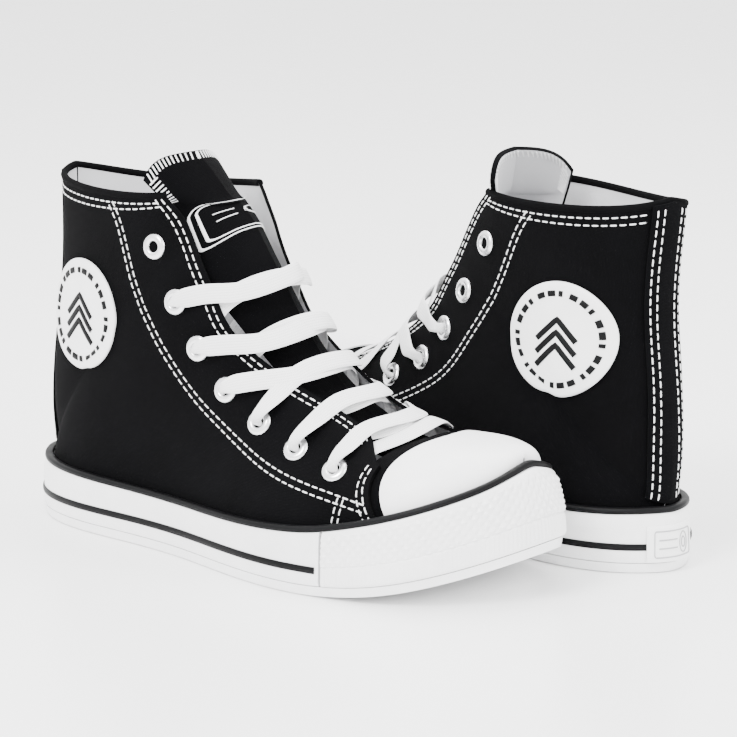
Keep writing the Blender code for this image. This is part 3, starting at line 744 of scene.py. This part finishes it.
def foxing_relief(s, h, height):
    """A smooth face with its upper part a shallow step prouder."""
    step_from, step_run, step_height = 0.62 * height, 0.8, 0.22
    proud = -0.5 * rounded_ends(h, height, 1.0)
    return proud + step_height * min(1.0, max(0.0, (h - step_from) / step_run))


def piping_form():
    """The soft black strip that closes the wall's top edge all round."""
    rings = []
    for t in spread(0, LOOP_COUNT * 239 / 240, 240):
        top = wall_top(t)
        lean = toe_lean(t)
        profile = [(1.0, -PIPING_HEIGHT), (0.75, -1.7), (0.85, -0.9), (1.3, -0.25), (2.0, 0.0),
                   (3.4, 0.0), (WALL_INSIDE, -0.3), (WALL_INSIDE, -PIPING_HEIGHT)]
        rings.append([(*outline(t, lean + inset), top + z) for inset, z in profile])
    return ring_form(rings)


def stripe_form():
    """The black band on the foxing, its face a little rounded."""
    outer, inner = [], []
    for t in spread(STRIPE_START, LOOP_COUNT - STRIPE_START, 170):
        low, high = STRIPE_HEIGHTS
        rise = spread(low, high, 5)
        proud = (0.35, 0.62, 0.7, 0.62, 0.35)
        outer.append([(*outline(t, wall_inset(t, z) - p), z) for z, p in zip(rise, proud)])
        inner.append([(*outline(t, wall_inset(t, z) + 0.5), z) for z in rise])
    return shell(outer, inner)


def outsole_form():
    """The tread plate, its edge leaning in a little towards the floor."""
    def face(inset, height):
        rows = []
        for t in spread(0.06, HEEL - 0.06, 110):
            medial, lateral = outline(t, inset), outline(LOOP_COUNT - t, inset)
            line = [medial * (1 - k) + lateral * k for k in (0.0, 0.03, 0.25, 0.5, 0.75, 0.97, 1.0)]
            rows.append([(x, y, spring(x) + height) for x, y in line])
        return rows

    return shell(face(0.35, OUTSOLE_THICK), face(1.0, 0.0))


def label_face(z):
    """The inset of the heel label's face at height z."""
    return -1.9 + 0.06 * (z - LABEL_FOOT)


def label_form():
    """The plate on the back of the sole, its border rounded."""
    outer, inner = [], []
    first, last = HEEL - LABEL_REACH, HEEL + LABEL_REACH
    for t in spread(first, last, 40):
        heights = spread(LABEL_FOOT, LABEL_FOOT + LABEL_HEIGHT, 16)
        edge = min(t - first, last - t) / 0.06
        side_fall = 0.5 * max(0.0, 1 - edge) ** 2
        falls = [side_fall + 0.5 * rounded_ends(z - LABEL_FOOT, LABEL_HEIGHT, 0.8) for z in heights]
        outer.append([(*outline(t, label_face(z) + fall), z) for z, fall in zip(heights, falls)])
        inner.append([(*outline(t, label_face(z) + 1.4), z) for z in heights])
    return shell(outer, inner)


def label_marks():
    """A thin frame with a round stud and two bars in it, standing proud of the heel label."""
    def on_label(p, q, off):
        return (*outline(12.0 + p / 20.5, label_face(12.5 + q) - off), 12.5 + q)

    lines = [box_path(-17, 17, -5.6, 5.6, 1.2), circle_path(8.5, 0, 4.4), circle_path(8.5, 0, 2.2)]
    lines += [[(-14, 1.8), (1.5, 1.8)], [(-14, -1.8), (1.5, -1.8)]]
    return join([stroke(line, 0.55, -0.3, 0.32, on_label) for line in lines])


# ---------------------------------------------------------------- drawn lines that stand proud
def dense(path, step):
    """A path with points no further than step apart."""
    path = np.asarray(path, float)
    points = [path[0]]
    for a, b in zip(path[:-1], path[1:]):
        count = max(1, math.ceil(np.linalg.norm(b - a) / step))
        points += [a + (b - a) * (i + 1) / count for i in range(count)]
    return np.array(points)


def circle_path(x, y, radius, first=0.0, last=360.0):
    angles = np.radians(np.linspace(first, last, max(4, int(abs(last - first) / 9)) + 1))
    return [(x + radius * math.cos(a), y + radius * math.sin(a)) for a in angles]


def box_path(x0, x1, y0, y1, radius):
    corners = [(x1 - radius, y1 - radius, 0), (x0 + radius, y1 - radius, 90),
               (x0 + radius, y0 + radius, 180), (x1 - radius, y0 + radius, 270)]
    path = []
    for x, y, start in corners:
        path += circle_path(x, y, radius, start, start + 90)
    return path + path[:1]


def stroke(path, width, low, high, mapping):
    """A raised line of some width along a path drawn in mm on a surface."""
    path = dense(path, 1.5)
    along = unit(np.gradient(path, axis=0))
    if np.allclose(path[0], path[-1]):
        along[0] = along[-1] = unit(path[1] - path[-2])
    across = np.stack([-along[:, 1], along[:, 0]], axis=1)
    outer, inner = [], []
    for point, side in zip(path, across):
        spots = [point + side * width * k for k in (-0.5, -0.3, 0.3, 0.5)]
        rise = (high * 0.5, high, high, high * 0.5)
        outer.append([mapping(*spot, off) for spot, off in zip(spots, rise)])
        inner.append([mapping(*spot, low) for spot in spots])
    return shell(outer, inner)


# ---------------------------------------------------------------- the upper's panels
def cap_edge(a):
    """The station of the toe cap's rear edge, further forward down the sides."""
    return 3.15 + 0.6 * (1 - a * a)


def cap_form():
    """The toe cap, its outer face rounded down at the rear edge."""
    first = 0.03

    def grid(off, rear_fall):
        rows = []
        for k in spread(0, 1, 40):
            here = off - rear_fall * max(0.0, 1 - (1 - k) * 26) ** 2
            rows.append([arch(first + (cap_edge(a) - first) * k, a, here)
                         for a in spread(-1, 1, 61)])
        return rows

    return shell(grid(TOE_CAP[1], 0.9), grid(TOE_CAP[0], 0.0))


def vamp_form():
    def grid(off):
        return [[arch(u, a, off) for a in spread(-1, 1, 61)] for u in spread(2.2, 4.1, 16)]

    return panel(grid, VAMP)


def quarter_uv(k, m, side):
    """Station and v on a quarter, k from its front edge to the collar, m from sole to flap edge."""
    start = cap_edge(1 - 0.6 * m) + 0.12
    u = start + (COLLAR - start) * k
    return u, 0.004 + (flap_v(u, side) - 0.004) * m


def on_quarter(k, m, side, off):
    return upper(*quarter_uv(k, m, side), side, off)


def quarter_form(side):
    def grid(off):
        return [[on_quarter(k, m, side, off) for m in spread(0, 1, 44)]
                for k in spread(0, 1, 100)]

    return panel(grid, FLAP)


def binding_form():
    """The tape folded over the collar's edge, from flap to flap round the heel."""
    path, across = [], []
    station, middle = COLLAR - 0.03, sum(FLAP) / 2
    for side, order in ((-1, 1), (1, -1)):
        for v in spread(flap_v(COLLAR, side), 0.004, 70)[::order]:
            path.append(upper(station, v, side, middle))
            across.append(upper(station, v, side, middle + 1.0) - path[-1])
    return sweep(path, across, 3.1, 3.4, 10)


def stay_place(u, a, off):
    """A point on the heel stay, a from its medial to its lateral edge."""
    side = -1 if a < 0 else 1
    v = abs(a) * HEEL_STAY_HALF / (4 * shape_at(u)[0])
    return upper(u, max(v, 0.001), side, off)


def stay_station(k, a):
    """The stay's stations, its foot level along the top of the sole's wall."""
    foot = 12.12 - 0.28 * a * a
    return foot + (COLLAR - 0.03 - foot) * k


def stay_form():
    """The strip up the back seam, its long edges turned down."""
    def grid(off, edge_fall):
        rows = []
        for k in spread(0, 1, 50):
            rows.append([stay_place(stay_station(k, a), a, off - (edge_fall if abs(a) == 1 else 0.0))
                         for a in spread(-1, 1, 15)])
        return rows

    return shell(grid(STAY[1], 0.5), grid(STAY[0], 0.0))


def tongue_place(k, a, off):
    """A point on the tongue, k from its root to its top, a from its medial to its lateral edge."""
    u = 4.0 + k * (14.9 - 1.1 * abs(a) ** 3)
    x, y, z = tongue_point(u, a * (0.2 + 0.03 * k), off)
    curl_from = 0.78
    curl = (max(0.0, k - curl_from) / (1 - curl_from)) ** 2
    return x - 3.0 * curl * max(0.0, -a), y - (3.5 - 6.0 * a) * curl, z


def tongue_form():
    def grid(off):
        return [[tongue_place(k, a, off) for a in spread(-1, 1, 27)] for k in spread(0, 1, 90)]

    return panel(grid, TONGUE)


def tongue_marks():
    """An embroidered double frame with a ring and two bars in it, near the tongue's top."""
    def on_tongue(p, q, off):
        return tongue_place(0.655 + q / 150, p / 17.5, TONGUE[1] + off)

    lines = [box_path(-15.5, 15.5, -21, 21, 8), box_path(-13, 13, -18.5, 18.5, 6.4),
             circle_path(5, 0, 5.2), [(-9, 4), (-3, 4)], [(-9, -4), (-3, -4)]]
    return join([stroke(line, 0.9, -0.2, 0.45, on_tongue) for line in lines])


def on_patch(p, q, off):
    """A point p mm ahead of the ankle patch's centre and q mm above it."""
    x, z = PATCH_PLACE
    return upper(*find(round(x + p, 3), round(z + q, 3), -1), -1, off)


def patch_form():
    """A round badge that follows the medial quarter, its rim rounded."""
    rim = 23.2
    outer, inner = [], []
    for radius in (0.01, 8, 16, 21, rim, 23.9, 24.3, PATCH_RADIUS):
        fall = max(0.0, radius - rim) / (PATCH_RADIUS - rim)
        ring = [(radius * math.cos(a), radius * math.sin(a))
                for a in np.linspace(0, math.tau, 73)[:-1]]
        outer.append([on_patch(p, q, PATCH[1] - 0.9 * fall ** 2) for p, q in ring])
        inner.append([on_patch(p, q, PATCH[0]) for p, q in ring])
    outer, inner = (np.swapaxes(np.asarray(grid), 0, 1) for grid in (outer, inner))
    return shell(outer, inner, loop=True)


def patch_marks():
    """A ring of dashes round three nested chevrons."""
    def on_face(p, q, off):
        return on_patch(p, q, PATCH[1] + off)

    lines = []
    for k in range(24):
        lines.append((circle_path(0, 0, 19.4, k * 15, k * 15 + (10 if k % 3 else 5)), 2.5))
    for drop in (5.5, 0.0, -5.5):
        lines.append(([(-9, drop - 6), (0, drop + 3), (9, drop - 6)], 2.4))
    return join([stroke(line, width, -0.2, 0.5, on_face) for line, width in lines])


# ---------------------------------------------------------------- stitching
STITCH_SUNK = 0.35      # how far a stitch's ends lie in the cloth
STITCH_PROUD = 0.15     # and its middle stands over it


def stitched(low, high, length=3.2, gap=0.8, width=0.66, height=0.55):
    """Single stitches along a line given just below and just above its surface."""
    low, high = np.asarray(low, float), np.asarray(high, float)
    run = np.concatenate([[0], np.cumsum(np.linalg.norm(np.diff(high, axis=0), axis=1))])
    count = int((run[-1] + gap) // (length + gap))
    scale = (run[-1] + gap) / max(1, count) / (length + gap)
    forms = []
    for k in range(count):
        start = k * (length + gap) * scale
        s = start + np.array([0, 0.18, 0.5, 0.82, 1]) * length * scale
        lift = np.array([0.0, 0.85, 1.0, 0.85, 0.0])[:, None]
        over = np.stack([np.interp(s, run, high[:, i]) for i in range(3)], axis=1)
        under = np.stack([np.interp(s, run, low[:, i]) for i in range(3)], axis=1)
        path = under + (over - under) * lift
        sideways = np.cross(over[-1] - over[0], over[2] - under[2])
        forms.append(sweep(path, np.broadcast_to(sideways, path.shape),
                           [0.4, width, width, width, 0.4], [0.3, height, height, height, 0.3], 6))
    return forms


def stitch_line(places, side):
    """Stitches through (station, v) places on one side of the upper."""
    low = [upper(u, v, side, FLAP[1] - STITCH_SUNK) for u, v in places]
    high = [upper(u, v, side, FLAP[1] + STITCH_PROUD) for u, v in places]
    return stitched(low, high)


def quarter_span(start, end, side):
    """The distance between two (k, m) places on a quarter."""
    return np.linalg.norm(on_quarter(*start, side, 0) - on_quarter(*end, side, 0))


def edge_lines(side, depth):
    """Places along the flap's front edge and down the quarter's front edge, depth mm in."""
    along_flap, along_front = [], []
    for k in spread(0.985, 0.075, 90):
        tall = quarter_span((k, 1.0), (k, 0.97), side) / 0.03
        along_flap.append(quarter_uv(k, 1 - depth / tall, side))
    for m in spread(0.9, 0.08, 40):
        long = quarter_span((0.02, m), (0.0, m), side) / 0.02
        along_front.append(quarter_uv(depth / long, m, side))
    return along_flap, along_front


def collar_line(side, depth):
    """Places along the collar from the heel stay to the flap, depth mm down."""
    places = []
    first = HEEL_STAY_HALF * 1.15 / (4 * shape_at(COLLAR)[0] * flap_v(COLLAR, side))
    for m in spread(first, 0.95, 60):
        long = quarter_span((1.0, m), (0.98, m), side) / 0.02
        places.append(quarter_uv(1 - depth / long, m, side))
    return places


# Side view places of the curved seam behind the eyelets, and of the short one below its end.
FACING = [(66.5, 147.5), (73.5, 136.5), (82, 115.5), (95, 95), (114, 73.5), (134, 60), (158, 48.8),
          (181, 42.8), (203, 39.5), (219, 37.5)]
DROP = [(207.5, 40), (206.5, 30)]


def seam(places, side, shift):
    """A seam through side view places, moved sideways by shift mm."""
    if len(places) > 2:
        curve = by_station(places)
        line = np.array([curve(t) for t in np.linspace(0, len(places) - 1, 80)])
    else:
        line = dense(places, 2.0)
    along = unit(np.gradient(line, axis=0))
    line = line + np.stack([-along[:, 1], along[:, 0]], axis=1) * shift
    return [find(round(float(x), 2), round(float(z), 2), side) for x, z in line]


def panel_stitches(side):
    """The double rows on a quarter: round its edges, along the collar and behind the eyelets."""
    forms = []
    for depth in (2.6, 5.4):
        for places in edge_lines(side, depth):
            forms += stitch_line(places, side)
    for depth in (4.2, 7.2):
        forms += stitch_line(collar_line(side, depth), side)
    for shift in (-1.4, 1.4):
        for places in (FACING, DROP):
            forms += stitch_line(seam(places, side, shift), side)
    return join(forms)


def stay_stitches():
    def line(a, off):
        return [stay_place(stay_station(k, a), a, off) for k in spread(0.01, 0.98, 60)]

    forms = []
    for a in (-0.76, -0.45, 0.45, 0.76):
        forms += stitched(line(a, STAY[1] - STITCH_SUNK), line(a, STAY[1] + STITCH_PROUD))
    return join(forms)


def tongue_stitches():
    """Overcast threads round the tongue's free edge."""
    edge = [(k, -1.0) for k in spread(0.9, 0.98, 9)]
    edge += [(1.0, a) for a in spread(-0.9, 0.9, 26)]
    edge += [(k, 1.0) for k in spread(0.98, 0.9, 9)]
    forms = []
    for k, a in edge:
        if k == 1.0:
            start, turn, end = (k - 0.022, a - 0.03), (k - 0.004, a), (k - 0.022, a + 0.03)
        else:
            start, turn, end = (k - 0.006, a * 0.82), (k, a * 0.97), (k + 0.006, a * 0.82)
        path = [tongue_place(*start, TONGUE[1] - 0.2), tongue_place(*turn, TONGUE[1] + 0.35),
                tongue_place(*turn, TONGUE[0] - 0.35), tongue_place(*end, TONGUE[0] + 0.2)]
        forms.append(sweep(path, np.broadcast_to([1.0, 0.3, 0.2], (4, 3)), 0.8, 0.8, 6))
    return join(forms)


# ---------------------------------------------------------------- eyelets and lace
# Radius and height of the turned profile: the outer flange, the barrel and the rolled inner flange.
EYELET_LOOK = [(2.4, -1.9), (2.4, 0.4), (2.65, 0.95), (3.3, 1.3), (4.2, 1.25), (5.0, 0.95),
               (5.5, 0.5), (5.65, 0.1), (5.2, 0.05), (2.95, 0.05), (2.95, -1.7), (4.7, -1.7),
               (4.9, -1.9), (4.5, -2.2), (3.5, -2.45), (2.7, -2.3)]


def eyelet_form(spot, side):
    """An eyelet turned round the normal of its flap."""
    centre = upper(*spot, side, FLAP[1])
    axis = unit(upper(*spot, side, FLAP[1] + 1.0) - centre)
    first = unit(np.cross(axis, UP))
    second = np.cross(axis, first)
    rings = []
    for angle in np.arange(28) * math.tau / 28:
        out = first * math.cos(angle) + second * math.sin(angle)
        rings.append([centre + out * r + axis * z for r, z in EYELET_LOOK])
    return ring_form(rings)


def tape_end(row, side, over, middle_u):
    """Points and directions outwards from an eyelet towards the middle, over or under its flap."""
    u, v = SPOTS[side][row - 1]
    past = flap_v(u, side) + 0.04
    offs = TAPE_OVER if over else TAPE_UNDER
    places = []
    for share, off in zip((0.0, 0.5, 1.0), offs):
        spot = (u + (middle_u - u) * share, v + (past - v) * share)
        here = upper(*spot, side, off)
        places.append((here, upper(*spot, side, off + 1.0) - here))
    return places


def lace_points(first_row):
    """The lace's path, the direction across it, and how far each point is from an eyelet."""
    stops = [stop for stop in LACING if stop[0] >= first_row]
    points, normals, chords, marks = [], [], [], []

    def put(here, normal, chord, at_hole=False):
        points.append(here)
        normals.append(normal)
        chords.append(chord)
        marks.append(at_hole)

    down = np.array([-0.6, 0.0, -0.8])

    def put_inside(spot, side, chord, at_hole=False):
        here = upper(*spot, side, LACE_TAIL)
        put(here, upper(*spot, side, LACE_TAIL + 1) - here, chord, at_hole)

    def tail(row, side, order):
        x, z = EYELETS[row - 1]
        for dx, dz in ((8, 12), (22, 30), (36, 50))[::order]:
            put_inside(find_opened(x - dx, z - dz, side), side, down * order)

    def inner_point(row, side):
        put_inside(SPOTS[side][row - 1], side, down, True)

    tail(*stops[0][:2], -1)
    inner_point(*stops[0][:2])
    for (row, side, inward), after in zip(stops, stops[1:]):
        next_row, next_side, next_inward = after
        start, end = SPOTS[side][row - 1], SPOTS[next_side][next_row - 1]
        middle_u = (start[0] + end[0]) / 2
        leave = tape_end(row, side, not inward, middle_u)
        arrive = tape_end(next_row, next_side, next_inward, middle_u)[::-1]
        chord = arrive[-1][0] - leave[0][0]
        crossing = TAPE_CROSS_HIGH if (row, next_row, side) in HIGH_STRANDS else TAPE_CROSS_LOW
        top = arch(middle_u, 0.0, crossing)
        for here, normal in leave:
            put(here, normal, chord, here is leave[0][0])
        put(top, arch(middle_u, 0.0, crossing + 1.0) - top, chord)
        for here, normal in arrive:
            put(here, normal, chord, here is arrive[-1][0])
    inner_point(*stops[-1][:2])
    tail(*stops[-1][:2], 1)
    return np.array(points), unit(np.cross(normals, chords)), marks


def lace_form(first_row):
    """One flat tape from end to end, squeezed where it goes through an eyelet."""
    points, across, marks = lace_points(first_row)
    for i in range(1, len(across)):
        if np.dot(across[i], across[i - 1]) < 0:
            across[i] *= -1
    run = np.concatenate([[0], np.cumsum(np.linalg.norm(np.diff(points, axis=0), axis=1))])
    path_at, across_at = Spline(run, points), Spline(run, across)
    holes = np.array([s for s, mark in zip(run, marks) if mark])
    steps = np.arange(0.0, run[-1], TAPE_STEP)
    near = np.min(np.abs(steps[:, None] - holes[None, :]), axis=1)
    squeezed, opening = 1.5, 9.0
    open_out = np.clip((near - squeezed) / opening, 0, 1)
    open_out = open_out * open_out * (3 - 2 * open_out)
    widths = TAPE_AT_HOLE[0] + (TAPE_WIDTH - TAPE_AT_HOLE[0]) * open_out
    heights = TAPE_AT_HOLE[1] + (TAPE_THICK - TAPE_AT_HOLE[1]) * open_out
    path = np.array([path_at(s) for s in steps])
    across = np.array([across_at(s) for s in steps])
    return sweep(path, across, widths, heights, 14, 0.62)


# ---------------------------------------------------------------- both shoes
def eyelet_name(side, row):
    return f"eyelet_{'medial' if side < 0 else 'lateral'}_{row + 1}"


def shared_pieces():
    """Every piece that both shoes have: name, form, finishes, slot, CAD nodes it stands for, body."""
    foxing = wall_form(spread(FOXING_START, LOOP_COUNT - FOXING_START, 220), 14, foxing_relief)
    bumper = wall_form(spread(-BUMPER_END, BUMPER_END, 420), 40, bumper_relief)
    yield "outsole", outsole_form(), [WHITE_RUBBER], "white_rubber", ["outsole"], "shoe"
    yield "foxing", foxing, [WHITE_RUBBER], "white_rubber", ["foxing_strip"], "shoe"
    yield "bumper", bumper, [WHITE_RUBBER], "white_rubber", ["toe_bumper"], "shoe"
    yield "piping", piping_form(), [BLACK_RUBBER], "black_rubber", ["upper_pinstripe"], "shoe"
    yield "stripe", stripe_form(), [BLACK_RUBBER], "black_rubber", ["lower_pinstripe"], "shoe"
    yield "label", label_form(), [WHITE_RUBBER], "white_rubber", ["heel_label"], "shoe"
    yield "label_marks", label_marks(), [GREY_RUBBER], "black_rubber", [], "shoe"
    yield "cap", cap_form(), [CAP_RUBBER], "white_rubber", ["toe_cap"], "shoe"
    yield "vamp", vamp_form(), [BLACK_CANVAS, LINING], "black_canvas", ["vamp"], "shoe"
    for side, word in ((-1, "medial"), (1, "lateral")):
        yield (f"quarter_{word}", quarter_form(side), [BLACK_CANVAS, LINING, BLACK_TAPE],
               "black_canvas", [f"quarter_{word}"], "shoe")
        yield f"stitches_{word}", panel_stitches(side), [STITCH], "white_cotton", [], "shoe"
        for row, spot in enumerate(SPOTS[side]):
            name = eyelet_name(side, row)
            yield name, eyelet_form(spot, side), [NICKEL], "nickel", [name], "shoe"
    yield "binding", binding_form(), [BLACK_TAPE], "black_canvas", [], "shoe"
    yield "heel_stay", stay_form(), [BLACK_CANVAS], "black_canvas", ["heel_stay"], "shoe"
    yield "heel_stitches", stay_stitches(), [STITCH], "white_cotton", [], "shoe"
    yield "patch", patch_form(), [WHITE_RUBBER], "white_rubber", ["ankle_patch"], "shoe"
    yield "patch_marks", patch_marks(), [BLACK_RUBBER], "black_rubber", [], "shoe"
    yield ("tongue", tongue_form(), [BLACK_CANVAS, LINING, BLACK_CANVAS], "black_canvas", ["tongue"],
           "tongue_body")
    yield "tongue_marks", tongue_marks(), [STITCH], "white_cotton", [], "tongue_body"
    yield "tongue_stitches", tongue_stitches(), [STITCH], "white_cotton", [], "tongue_body"


for piece_name, form, finishes, slot, nodes, body in shared_pieces():
    for shoe in PLACES:
        make(shoe, piece_name, form, finishes, slot, nodes, body)
for shoe, first_row in (("left", 2), ("right", 3)):
    make(shoe, "lace", lace_form(first_row), [LACE_TAPE], "white_cotton", ["lace"])
    for node, finish in (("midsole", WHITE_RUBBER), ("insole", LINING)):
        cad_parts[f"{shoe}_{node}"].data.materials.clear()
        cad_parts[f"{shoe}_{node}"].data.materials.append(finish)


# ---------------------------------------------------------------- studio
def floor_material():
    nodes = Nodes("studio floor")
    haze = nodes.noise(nodes.add("ShaderNodeTexCoord").outputs["Object"], 3.0)
    rough = nodes.add("ShaderNodeMapRange", {"Value": haze, "To Min": 0.24, "To Max": 0.32}).outputs[0]
    return nodes.finish(Base_Color=(0.93, 0.93, 0.93, 1), Roughness=rough, Specular_IOR_Level=0.35)


def make_floor():
    mesh = bpy.data.meshes.new("floor")
    reach = 12.0
    corners = [(-reach, -reach, 0), (reach, -reach, 0), (reach, reach, 0), (-reach, reach, 0)]
    mesh.from_pydata(corners, [], [(0, 1, 2, 3)])
    mesh.materials.append(floor_material())
    floor = bpy.data.objects.new("floor", mesh)
    floor.location.z = -0.0003
    bpy.context.scene.collection.objects.link(floor)


def softbox(name, location, target, size, power):
    light = bpy.data.lights.new(name, "AREA")
    light.shape = "RECTANGLE"
    light.size, light.size_y = size
    light.energy = power
    item = bpy.data.objects.new(name, light)
    item.location = location
    item.rotation_euler = (Vector(target) - Vector(location)).to_track_quat("-Z", "Y").to_euler()
    bpy.context.scene.collection.objects.link(item)


def make_world():
    world = bpy.data.worlds.new("studio")
    world.use_nodes = True
    sky = world.node_tree.nodes["Background"]
    sky.inputs["Color"].default_value = (1.0, 1.0, 1.0, 1.0)
    sky.inputs["Strength"].default_value = 3.0
    bpy.context.scene.world = world


def make_camera():
    data = bpy.data.cameras.new("camera")
    data.sensor_width = 36.0
    data.lens = 146.54
    camera = bpy.data.objects.new("camera", data)
    camera.location = (0.0054, -1.3105, 0.3410)
    camera.rotation_euler = (math.radians(90 - 11.7), 0.0, 0.0)
    bpy.context.scene.collection.objects.link(camera)
    bpy.context.scene.camera = camera


make_floor()
softbox("key", (-0.9, -1.2, 1.5), (0, 0, 0.05), (0.8, 0.8), 60)
softbox("fill", (1.3, -0.9, 0.9), (0, 0, 0.08), (0.8, 0.8), 18)
softbox("top", (0.1, 0.3, 1.6), (0, 0, 0), (1.4, 1.2), 38)
make_world()
make_camera()
